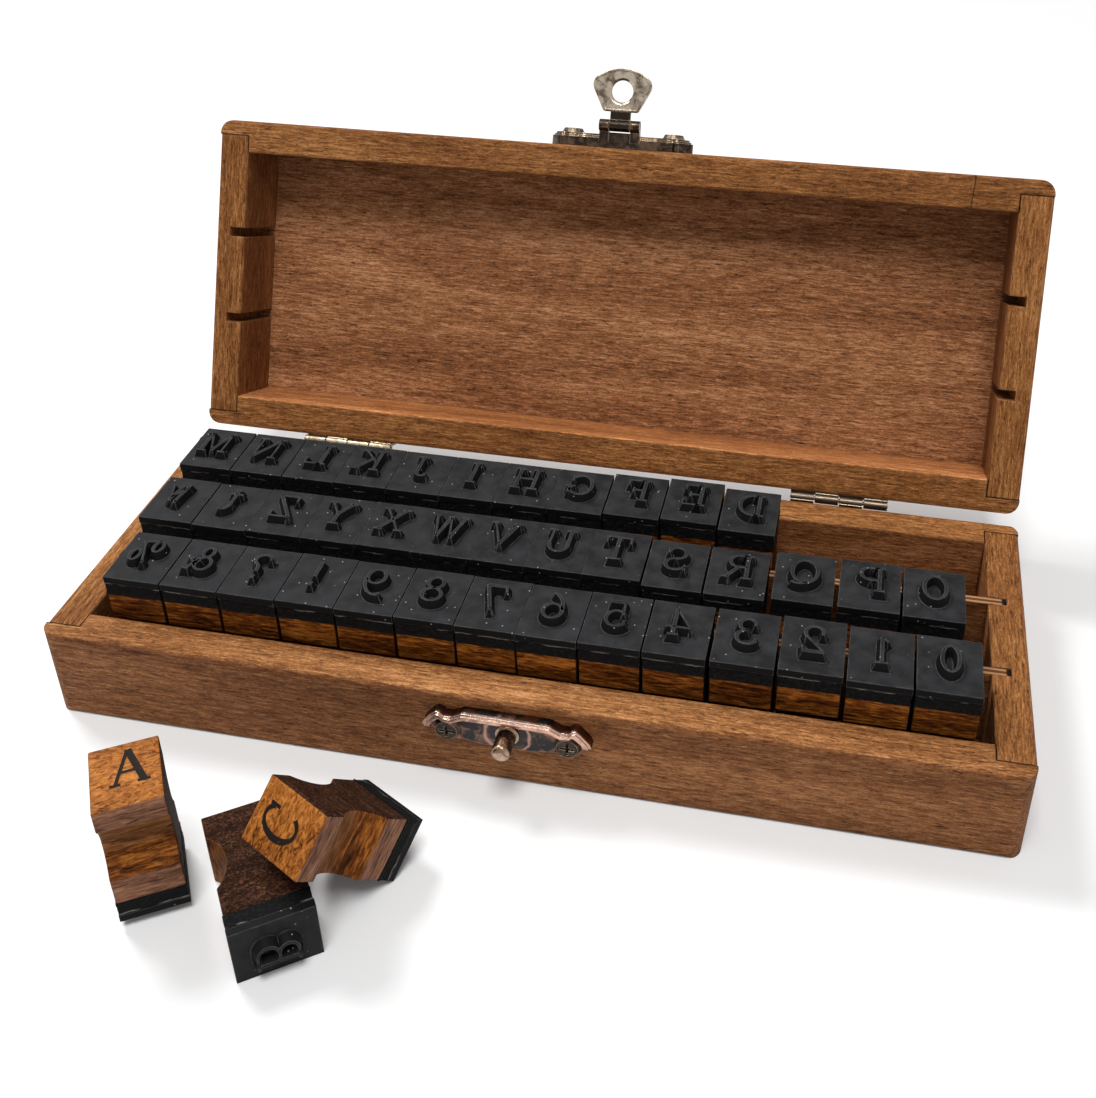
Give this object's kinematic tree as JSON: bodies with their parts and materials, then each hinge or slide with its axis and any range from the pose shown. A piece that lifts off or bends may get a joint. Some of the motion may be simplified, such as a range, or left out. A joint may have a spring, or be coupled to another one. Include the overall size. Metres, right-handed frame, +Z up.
{
  "type": "wooden stamp box",
  "caption": "Long wooden box with a hinged lid and a hasp latch, holding rows of small rubber character stamps on wooden blocks between slats, with loose stamps beside it",
  "frame": {"origin": "middle of the underside of the box, on the surface that it stands on", "axes": "+X along the box to the right as seen from the latch side, +Y to the hinges, +Z up"},
  "size_m": [0.15, 0.1372, 0.0824],
  "materials": {
    "wall_wood": "brown stained wood with a fine lengthwise grain and worn, glossy edges",
    "panel_wood": "brown plywood panel",
    "divider_ply": "thin three-ply slat",
    "stamp_wood": "orange-brown lacquered wood with dark sides",
    "cushion_foam": "black foam",
    "die_rubber": "matte charcoal rubber with pale dust",
    "hinge_brass": "aged brass",
    "latch_copper": "antique copper with a dark patina",
    "latch_bronze": "antique bronze with worn bright edges",
    "screw_steel": "dark plated steel"
  },
  "bodies": {
    "box": {"box_front_wall": "wall_wood", "box_rear_wall": "wall_wood", "box_left_end": "wall_wood", "box_right_end": "wall_wood", "box_floor": "panel_wood", "hinge_box_leaves": "hinge_brass", "hinge_pins": "hinge_brass", "hinge_box_nails": "hinge_brass", "latch_box_plate": "latch_copper", "latch_stud": "latch_copper", "latch_box_screws": "screw_steel"},
    "lid": {"lid_front_wall": "wall_wood", "lid_rear_wall": "wall_wood", "lid_left_end": "wall_wood", "lid_right_end": "wall_wood", "lid_panel": "panel_wood", "hinge_lid_leaves": "hinge_brass", "hinge_lid_nails": "hinge_brass", "latch_lid_plate": "latch_bronze", "latch_lid_screws": "screw_steel", "latch_pin": "latch_bronze"},
    "hasp": {"latch_hasp": "latch_bronze"},
    "front_divider": {"divider_front": "divider_ply"},
    "rear_divider": {"divider_rear": "divider_ply"},
    "front_row": {"front_row_blocks": "stamp_wood", "front_row_cushions": "cushion_foam", "front_row_dies": "die_rubber"},
    "middle_row": {"middle_row_blocks": "stamp_wood", "middle_row_cushions": "cushion_foam", "middle_row_dies": "die_rubber"},
    "rear_row": {"rear_row_blocks": "stamp_wood", "rear_row_cushions": "cushion_foam", "rear_row_dies": "die_rubber"},
    "stamp_a": {"stamp_a_block": "stamp_wood", "stamp_a_cushion": "cushion_foam", "stamp_a_die": "die_rubber"},
    "stamp_b": {"stamp_b_block": "stamp_wood", "stamp_b_cushion": "cushion_foam", "stamp_b_die": "die_rubber"},
    "stamp_c": {"stamp_c_block": "stamp_wood", "stamp_c_cushion": "cushion_foam", "stamp_c_die": "die_rubber"}
  },
  "joints": [
    {"name": "lid_hinge", "type": "hinge", "parent": "box", "child": "lid", "pos_m": [0, 0.02965, 0.01635], "axis": [-1, 0, 0], "range_deg": [-114, 0]},
    {"name": "hasp_pivot", "type": "hinge", "parent": "lid", "child": "hasp", "pos_m": [0.0002, 0.0552, 0.07312], "axis": [-1, 0, 0], "range_deg": [-90, 90]},
    {"name": "divider_front_lift", "type": "slide", "parent": "box", "child": "front_divider", "axis": [0, 0, 1], "range_m": [0, 0.02]},
    {"name": "divider_rear_lift", "type": "slide", "parent": "box", "child": "rear_divider", "axis": [0, 0, 1], "range_m": [0, 0.02]},
    {"name": "front_row_lift", "type": "slide", "parent": "box", "child": "front_row", "axis": [0, 0, 1], "range_m": [0, 0.025]},
    {"name": "middle_row_lift", "type": "slide", "parent": "box", "child": "middle_row", "axis": [0, 0, 1], "range_m": [0, 0.025]},
    {"name": "rear_row_lift", "type": "slide", "parent": "box", "child": "rear_row", "axis": [0, 0, 1], "range_m": [0, 0.025]},
    {"name": "stamp_a_lift", "type": "slide", "parent": "box", "child": "stamp_a", "axis": [0, 0, 1], "range_m": [0, 0.03]},
    {"name": "stamp_b_lift", "type": "slide", "parent": "box", "child": "stamp_b", "axis": [0, 0, 1], "range_m": [0, 0.03]},
    {"name": "stamp_c_lift", "type": "slide", "parent": "stamp_b", "child": "stamp_c", "axis": [0, 0, 1], "range_m": [0, 0.03]}
  ]
}
